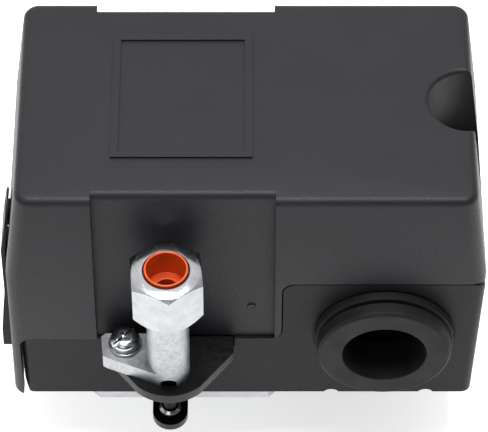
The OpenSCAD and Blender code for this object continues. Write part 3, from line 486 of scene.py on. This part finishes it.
def screw_tree():
    """A row of equal screws: a head and a threaded shank at each place, each head turned its own way."""
    tree, ins = new_tree("screw row", [
        ("Head", "Object", None), ("Radius", "Float", 2 * MM), ("Length", "Float", 8 * MM),
        ("Pitch", "Float", 0.7 * MM), ("Middle", "Vector", None), ("Start", "Vector", None),
        ("Step", "Vector", None), ("Count", "Int", 1), ("Turn", "Float", 0.0), ("Seed", "Int", 3),
        ("Material", "Material", None)])
    head = add(tree, "GeometryNodeObjectInfo", {"Object": ins["Head"]}).outputs["Geometry"]
    screw = add(tree, "GeometryNodeJoinGeometry")
    tree.links.new(head, screw.inputs[0])
    tree.links.new(thread_part(tree, ins).outputs[0], screw.inputs[0])
    row = add(tree, "GeometryNodeMeshLine", {"Count": ins["Count"], "Start Location": ins["Start"],
                                             "Offset": ins["Step"]})
    spin = add(tree, "FunctionNodeRandomValue", {"Seed": ins["Seed"], 2: -1.0, 3: 1.0}, data_type="FLOAT")
    angle = add(tree, "ShaderNodeMath", {0: ins["Turn"], 1: spin.outputs[1]}, operation="ADD")
    facing = add(tree, "ShaderNodeCombineXYZ", {"Z": angle})
    placed = add(tree, "GeometryNodeInstanceOnPoints", {"Points": row, "Instance": screw, "Rotation": facing})
    return close_tree(tree, placed, ins["Material"])


def spring_tree():
    """A compression spring with closed ends: a spiral whose climb is slow over its first and last turn."""
    tree, ins = new_tree("coil spring", [
        ("Radius", "Float", 5 * MM), ("Wire", "Float", 0.6 * MM), ("Height", "Float", 20 * MM),
        ("Turns", "Float", 8.0), ("Foot", "Vector", None), ("Material", "Material", None)])
    spiral = add(tree, "GeometryNodeCurveSpiral", {
        "Resolution": 36, "Rotations": ins["Turns"], "Start Radius": ins["Radius"],
        "End Radius": ins["Radius"], "Height": 0.0})
    share = add(tree, "GeometryNodeSplineParameter").outputs["Factor"]
    turns = add(tree, "ShaderNodeMath", {0: share, 1: ins["Turns"]}, operation="MULTIPLY")
    closed = add(tree, "ShaderNodeMath", {0: ins["Wire"], 1: CLOSED_TURN}, operation="MULTIPLY")
    last = add(tree, "ShaderNodeMath", {0: ins["Turns"], 1: 1.0}, operation="SUBTRACT")
    # The first and the last turn climb by the wire's own thickness
    first_part = add(tree, "ShaderNodeMath", {0: turns, 1: 1.0}, operation="MINIMUM")
    past_last = add(tree, "ShaderNodeMath", {0: turns, 1: last}, operation="SUBTRACT")
    last_part = add(tree, "ShaderNodeMath", {0: past_last, 1: 0.0}, operation="MAXIMUM")
    end_turns = add(tree, "ShaderNodeMath", {0: first_part, 1: last_part}, operation="ADD")
    ends = add(tree, "ShaderNodeMath", {0: end_turns, 1: closed}, operation="MULTIPLY")
    # The turns between them share the rest of the height
    past_first = add(tree, "ShaderNodeMath", {0: turns, 1: 1.0}, operation="MAXIMUM")
    between = add(tree, "ShaderNodeMath", {0: past_first, 1: last}, operation="MINIMUM")
    middle = add(tree, "ShaderNodeMath", {0: between, 1: 1.0}, operation="SUBTRACT")
    open_turns = add(tree, "ShaderNodeMath", {0: ins["Turns"], 1: 2.0}, operation="SUBTRACT")
    free = add(tree, "ShaderNodeMath", {0: middle, 1: open_turns}, operation="DIVIDE")
    both_ends = add(tree, "ShaderNodeMath", {0: closed, 1: 2.0}, operation="MULTIPLY")
    open_height = add(tree, "ShaderNodeMath", {0: ins["Height"], 1: both_ends}, operation="SUBTRACT")
    opened = add(tree, "ShaderNodeMath", {0: free, 1: open_height}, operation="MULTIPLY")
    height = add(tree, "ShaderNodeMath", {0: ends, 1: opened}, operation="ADD")
    rise = add(tree, "ShaderNodeCombineXYZ", {"Z": height})
    shaped = add(tree, "GeometryNodeSetPosition", {"Geometry": spiral, "Offset": rise})
    section = add(tree, "GeometryNodeCurvePrimitiveCircle", {"Resolution": 12, "Radius": ins["Wire"]})
    wire = add(tree, "GeometryNodeCurveToMesh", {"Curve": shaped, "Profile Curve": section,
                                                 "Fill Caps": True})
    moved = add(tree, "GeometryNodeTransform", {"Geometry": wire, "Translation": ins["Foot"]})
    return close_tree(tree, moved, ins["Material"])


def grown(tree, name, **values):
    """Runs a tree once and keeps its result as a plain mesh at the origin."""
    carrier = bpy.data.objects.new(name + "_carrier", bpy.data.meshes.new(name + "_carrier"))
    bpy.context.scene.collection.objects.link(carrier)
    modifier = carrier.modifiers.new("tree", "NODES")
    modifier.node_group = tree
    for item in tree.interface.items_tree:
        if item.item_type == "SOCKET" and item.in_out == "INPUT" and item.name in values:
            modifier[item.identifier] = values[item.name]
    bpy.context.view_layer.update()
    ready = carrier.evaluated_get(bpy.context.evaluated_depsgraph_get())
    mesh = bpy.data.meshes.new_from_object(ready)
    bpy.data.objects.remove(carrier)
    bm = bmesh.new()
    bm.from_mesh(mesh)
    bmesh.ops.remove_doubles(bm, verts=bm.verts, dist=1e-7)
    shade_by_angle(bm)
    bm.to_mesh(mesh)
    bm.free()
    mesh.name = name
    piece = bpy.data.objects.new(name, mesh)
    bpy.context.scene.collection.objects.link(piece)
    return piece


def stud_piece(tree, node, pitch):
    """A threaded stud in place of a plain rod."""
    low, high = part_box(node)
    middle = (low + high) / 2
    rod = grown(tree, node + "_threaded", Radius=(high.x - low.x) / 2, Length=high.z - low.z, Pitch=pitch,
                Middle=tuple(middle), Material=MATERIALS[SLOT[node]])
    return settle(rod, node)


def spring_piece(tree, node, outer, wire, turns):
    """A coiled spring in place of a plain one, and its lowest and highest corner."""
    low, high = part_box(node)
    centre = (low + high) / 2
    foot = (centre.x, centre.y, low.z + wire / 2)
    spring = grown(tree, node + "_coiled", Radius=outer - wire / 2, Wire=wire / 2,
                   Height=high.z - low.z - wire, Turns=turns, Foot=foot, Material=MATERIALS[SLOT[node]])
    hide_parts(node)
    return spring, low, high


def pan_head(radius, height, recess, slot_half, slot_width):
    """A domed head, flat below, cut by a cross and by a driver slot where slot_half is longer."""
    rim = height * 0.42
    dome = [(0, 0), (radius * 0.96, 0), (radius, height * 0.06), (radius, rim)]
    dome += [(radius * math.cos(a) ** 0.55, rim + (height - rim) * math.sin(a))
             for a in [math.radians(d) for d in (15, 30, 45, 60, 72, 82)]]
    head = piece_from(turned(dome + [(0, height)]), "head", None)
    cutter = bmesh.new()
    for turn, half in ((0, slot_half), (math.pi / 2, radius * 0.5)):
        block = bmesh.ops.create_cube(cutter, size=1)["verts"]
        for v in block:
            wide = half * (1 if v.co.z > 0 else 0.62 if half < radius else 1)
            x, y = v.co.x * 2 * wide, v.co.y * slot_width
            z = height * 1.5 if v.co.z > 0 else height - recess
            v.co = (x * math.cos(turn) - y * math.sin(turn), x * math.sin(turn) + y * math.cos(turn), z)
    knife = piece_from(cutter, "knife", None)
    cut = head.modifiers.new("recess", "BOOLEAN")
    cut.object = knife
    cut.operation = "DIFFERENCE"
    cut.solver = "EXACT"
    cut.use_self = True
    soft = head.modifiers.new("edges", "BEVEL")
    soft.width = 0.08 * MM
    soft.segments = 2
    soft.angle_limit = SHARP
    bpy.context.view_layer.update()
    mesh = bpy.data.meshes.new_from_object(head.evaluated_get(bpy.context.evaluated_depsgraph_get()))
    bpy.data.objects.remove(head)
    bpy.data.objects.remove(knife)
    made = bpy.data.objects.new("screw_head", mesh)
    bpy.context.scene.collection.objects.link(made)
    return made


def screw_row(tree, node, count, thread_radius, pitch, head_height, slotted):
    """Equal screws along Y or X in place of a node that holds them all."""
    low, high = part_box(node)
    span = high - low
    along_y = span.y > span.x
    head_radius = (span.x if along_y else span.y) / 2
    gap = (max(span.x, span.y) - 2 * head_radius) / max(1, count - 1)
    seat = high.z - head_height
    start = Vector((low.x + head_radius, low.y + head_radius, seat))
    step = Vector((0, gap, 0)) if along_y else Vector((gap, 0, 0))
    slot_half = head_radius * (1.2 if slotted else 0.5)
    head = pan_head(head_radius, head_height, head_height * 0.5, slot_half, head_radius * 0.24)
    shank = seat - low.z
    into_head = 0.2 * MM
    row = grown(tree, node + "_machined", Head=head, Radius=thread_radius, Length=shank + into_head,
                Pitch=pitch, Middle=(0, 0, (into_head - shank) / 2), Start=tuple(start), Step=tuple(step),
                Count=count, Material=MATERIALS[SLOT[node]])
    bpy.data.objects.remove(head)
    return settle(row, node)


# ---------------------------------------------------------------- operators

class Build(bpy.types.Operator):
    """Shared parts of the operators that make pieces."""
    bl_options = {"REGISTER", "UNDO"}

    @property
    def sizes(self):
        return bpy.context.scene.switch_sizes


class SWITCH_OT_materials(Build):
    """Makes every material of the switch"""
    bl_idname = "switch.materials"
    bl_label = "Materials"

    def execute(self, context):
        make_materials(context.scene.switch_colours)
        return {"FINISHED"}


class SWITCH_OT_housing(Build):
    """Cover and base mouldings, and the gate mark on the front band"""
    bl_idname = "switch.housing"
    bl_label = "Housing"

    def execute(self, context):
        edge = self.sizes.moulding_edge
        finished("cover", edge, "black_moulding", 3)
        finished("base", edge, "base_moulding", 3)
        finished("on_off_lever", edge, "base_moulding", 3)
        self.gate_mark()
        return {"FINISHED"}

    def gate_mark(self):
        """A low disc with a dimple, where the moulding's gate was broken off."""
        low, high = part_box("cover")
        middle = (low + high) / 2
        radius = self.sizes.gate_radius
        rise = 0.25 * MM
        sunk = 0.6 * MM
        profile = [(0, -sunk), (radius, -sunk), (radius, rise * 0.6), (radius * 0.85, rise),
                   (radius * 0.4, rise), (0, rise * 0.2)]
        bm = turned(profile, 24)
        lean = math.radians(3.2)  # the band's face leans back a little
        # To the right of the cover's middle, on the band's face behind the cover's front, below its top
        right, behind, below = 1.4 * MM, 1.75 * MM, 37.8 * MM
        for v in bm.verts:
            x, y, z = v.co
            v.co = (x + middle.x + right, -z * math.cos(lean) + y * math.sin(lean) + low.y + behind,
                    y * math.cos(lean) + z * math.sin(lean) + high.z - below)
        bmesh.ops.recalc_face_normals(bm, faces=bm.faces)
        shade_by_angle(bm)
        mark = piece_from(bm, "gate_mark", MATERIALS["black_moulding"])
        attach(mark, "cover")


class SWITCH_OT_grommets(Build):
    """Rubber cable grommets and the diaphragm"""
    bl_idname = "switch.grommets"
    bl_label = "Grommets"

    def execute(self, context):
        for node in ("grommet_front", "grommet_back"):
            finished(node, self.sizes.rubber_edge, "grommet_rubber", 3)
        finished("diaphragm", self.sizes.sheet_edge, "grommet_rubber")
        return {"FINISHED"}


class SWITCH_OT_valve(Build):
    """Unloader valve: casting, tube nut, sleeve, washer, pin and spring"""
    bl_idname = "switch.valve"
    bl_label = "Unloader valve"

    def execute(self, context):
        sizes = self.sizes
        finished("valve_body", sizes.cast_edge, "die_casting", 3)
        finished("tube_nut", sizes.nut_edge, "nickel_nut", 3)
        finished("tube_sleeve", sizes.sheet_edge, "orange_plastic", 3)
        finished("valve_washer", sizes.sheet_edge, "plated_screws")
        finished("valve_pin", sizes.sheet_edge, "black_steel")
        spring, low, high = spring_piece(spring_tree(), "valve_spring", 2.6 * MM, 0.6 * MM, 8)
        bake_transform(spring)
        return {"FINISHED"}


class SWITCH_OT_sheet_metal(Build):
    """Stamped and folded steel: plates, frame, lever, bracket, caps and nuts"""
    bl_idname = "switch.sheet_metal"
    bl_label = "Sheet metal"

    def execute(self, context):
        edge = self.sizes.sheet_edge
        for node in ("mount_plate", "frame", "range_cap", "diff_cap", "range_nut", "diff_nut", "lever_pin",
                     "lever_clip", "clamp_washers"):
            finished(node, edge, "zinc_plated_steel")
        for node in ("pressure_lever", "unloader_bracket"):
            finished(node, edge, "black_steel")
        finished("inlet_flange", self.sizes.cast_edge, "tapped_casting")
        for node in ("flange_screws", "cover_screw"):
            finished(node, edge * 0.7, "plated_screws")
        self.trip_screw()
        return {"FINISHED"}

    def trip_screw(self):
        """Blackened screw whose chamfer is given bright plating, a painted highlight round its top."""
        screw = finished("trip_screw", 0.05 * MM, "black_steel")
        screw.data.materials.append(MATERIALS["plated_screws"])
        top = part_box("trip_screw")[1].z
        # The sloping faces near the top take the bright plating as a painted highlight
        for polygon in screw.data.polygons:
            if polygon.center.z > top - 1 * MM and 0.2 < polygon.normal.z < 0.95:
                polygon.material_index = 1


class SWITCH_OT_studs(Build):
    """Threaded studs and the adjusting springs round them"""
    bl_idname = "switch.studs"
    bl_label = "Studs and springs"

    def execute(self, context):
        rods = rod_tree()
        stud_piece(rods, "range_stud", self.sizes.range_pitch)
        stud_piece(rods, "diff_stud", self.sizes.diff_pitch)
        coils = spring_tree()
        for node, cap, wire, turns in (("range_spring", "range_cap", 2.4, 8),
                                       ("diff_spring", "diff_cap", 1.2, 9)):
            low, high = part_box(node)
            spring, low, high = spring_piece(coils, node, (high.x - low.x) / 2, wire * MM, turns)
            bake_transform(spring)
        return {"FINISHED"}


class SWITCH_OT_screws(Build):
    """Rows of pan head screws"""
    bl_idname = "switch.screws"
    bl_label = "Screws"

    def execute(self, context):
        rows = screw_tree()
        pitch = self.sizes.screw_pitch
        for node, count, radius, height in (("bracket_screws", 2, 1.5, 2.0), ("block_screws", 2, 1.5, 2.0),
                                            ("terminal_screws", 4, 2.0, 2.6), ("ground_screws", 2, 2.0, 2.6)):
            screw_row(rows, node, count, radius * MM, pitch, height * MM, slotted=False)
        screw_row(rows, "valve_screw", 1, 2.0 * MM, pitch, 2.6 * MM, slotted=True)
        return {"FINISHED"}


class SWITCH_OT_contacts(Build):
    """Contact block, terminals, carrier and bridges"""
    bl_idname = "switch.contacts"
    bl_label = "Contacts"

    def execute(self, context):
        edge = self.sizes.sheet_edge
        finished("contact_block", edge * 1.5, "brown_phenolic")
        finished("contact_carrier", edge, "white_plastic")
        finished("piston", edge, "white_plastic")
        finished("terminal_plates", edge * 0.6, "brass")
        finished("contact_bridges", edge * 0.6, "copper")
        paint("bridge_springs")
        return {"FINISHED"}


class SWITCH_OT_stage(Build):
    """Pale floor, soft light and the camera"""
    bl_idname = "switch.stage"
    bl_label = "Stage"

    def execute(self, context):
        studio = context.scene.switch_studio
        context.scene.view_settings.view_transform = "Standard"
        self.floor(studio)
        self.lights(context, studio)
        self.camera(context, studio)
        return {"FINISHED"}

    def floor(self, studio):
        bm = bmesh.new()
        bmesh.ops.create_grid(bm, x_segments=1, y_segments=1, size=3.0)
        material, tree, place = start_material("pale_floor")
        cloud = add(tree, "ShaderNodeTexNoise", {"Vector": place, "Scale": 1 / (400 * MM), "Detail": 2.0,
                                                 "Roughness": 0.5})
        tone = add(tree, "ShaderNodeMix", {0: cloud, 6: scaled(studio.floor, 0.98),
                                           7: scaled(studio.floor, 1.02)}, data_type="RGBA")
        shade = add(tree, "ShaderNodeBsdfPrincipled", {
            "Base Color": tone.outputs[2], "Roughness": 0.9, "Emission Color": (1, 1, 1, 1),
            "Emission Strength": 0.55})
        add(tree, "ShaderNodeOutputMaterial", {"Surface": shade})
        floor = piece_from(bm, "floor", material)
        for v in floor.data.vertices:
            v.co.z = CAD_BOX[0][2]

    def lights(self, context, studio):
        world = bpy.data.worlds.new("white surroundings")
        world.use_nodes = True
        tree = world.node_tree
        place = add(tree, "ShaderNodeTexCoord").outputs["Generated"]
        toward = add(tree, "ShaderNodeSeparateXYZ", {0: place}).outputs
        # Brightest above and behind the switch, a little brighter on the left, never quite dark
        strength = 0.6 * studio.world
        for axis, rise in (("Z", 1.0), ("X", -0.4), ("Y", 1.6)):
            strength = add(tree, "ShaderNodeMath", {0: toward[axis], 1: rise * studio.world, 2: strength},
                           operation="MULTIPLY_ADD")
        lit = add(tree, "ShaderNodeMath", {0: strength, 1: 0.1}, operation="MAXIMUM")
        tree.links.new(lit.outputs[0], tree.nodes["Background"].inputs["Strength"])
        tree.nodes["Background"].inputs["Color"].default_value = (1, 1, 1, 1)
        context.scene.world = world
        middle = (Vector(CAD_BOX[0]) + Vector(CAD_BOX[1])) / 2
        for name, away, size, power in (("top light", (0.0, -0.02, 1.0), 0.5, studio.top_light),
                                        ("front light", (-0.35, -0.95, 0.78), 0.6, studio.front_light)):
            light = bpy.data.objects.new(name, bpy.data.lights.new(name, "AREA"))
            light.data.size = size
            light.data.energy = power
            light.location = middle + Vector(away)
            light.rotation_euler = (-Vector(away)).to_track_quat("-Z", "Y").to_euler()
            context.scene.collection.objects.link(light)

    def camera(self, context, studio):
        low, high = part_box("cover")
        middle = (low + high) / 2
        aim = Vector((middle.x + studio.aim_right, middle.y + studio.aim_back, high.z - studio.aim_down))
        back = Vector((0, -math.cos(studio.elevation), math.sin(studio.elevation)))
        camera = bpy.data.objects.new("camera", bpy.data.cameras.new("camera"))
        camera.data.lens = studio.lens
        camera.data.sensor_fit = "HORIZONTAL"
        camera.data.clip_start = 0.01
        camera.location = aim + back * studio.distance
        camera.rotation_euler = (math.pi / 2 - studio.elevation, 0, 0)
        context.scene.collection.objects.link(camera)
        context.scene.camera = camera


OPERATORS = (SWITCH_OT_materials, SWITCH_OT_housing, SWITCH_OT_grommets, SWITCH_OT_valve,
             SWITCH_OT_sheet_metal, SWITCH_OT_studs, SWITCH_OT_screws, SWITCH_OT_contacts, SWITCH_OT_stage)


class SWITCH_PT_sidebar(bpy.types.Panel):
    """Lists the switch's operators and its sizes and colours"""
    bl_idname = "SWITCH_PT_sidebar"
    bl_label = "Pressure switch"
    bl_space_type = "VIEW_3D"
    bl_region_type = "UI"
    bl_category = "Switch"

    def draw(self, context):
        for operator in OPERATORS:
            self.layout.operator(operator.bl_idname)
        for group in (context.scene.switch_sizes, context.scene.switch_colours, context.scene.switch_studio):
            box = self.layout.box()
            for name in group.bl_rna.properties.keys():
                if name not in ("rna_type", "name"):
                    box.prop(group, name)


GROUPS = (("switch_sizes", SwitchSizes), ("switch_colours", SwitchColours), ("switch_studio", SwitchStudio))


def register():
    for _, group in GROUPS:
        bpy.utils.register_class(group)
    for kind in OPERATORS + (SWITCH_PT_sidebar,):
        bpy.utils.register_class(kind)
    for name, group in GROUPS:
        setattr(bpy.types.Scene, name, bpy.props.PointerProperty(type=group))


def unregister():
    for name, group in reversed(GROUPS):
        delattr(bpy.types.Scene, name)
    for kind in reversed(OPERATORS + (SWITCH_PT_sidebar,)):
        bpy.utils.unregister_class(kind)
    for _, group in reversed(GROUPS):
        bpy.utils.unregister_class(group)


def main():
    register()
    bpy.ops.switch.materials()
    bpy.ops.switch.housing()
    bpy.ops.switch.grommets()
    bpy.ops.switch.valve()
    bpy.ops.switch.sheet_metal()
    bpy.ops.switch.studs()
    bpy.ops.switch.screws()
    bpy.ops.switch.contacts()
    bpy.ops.switch.stage()


if __name__ == "__main__":
    main()
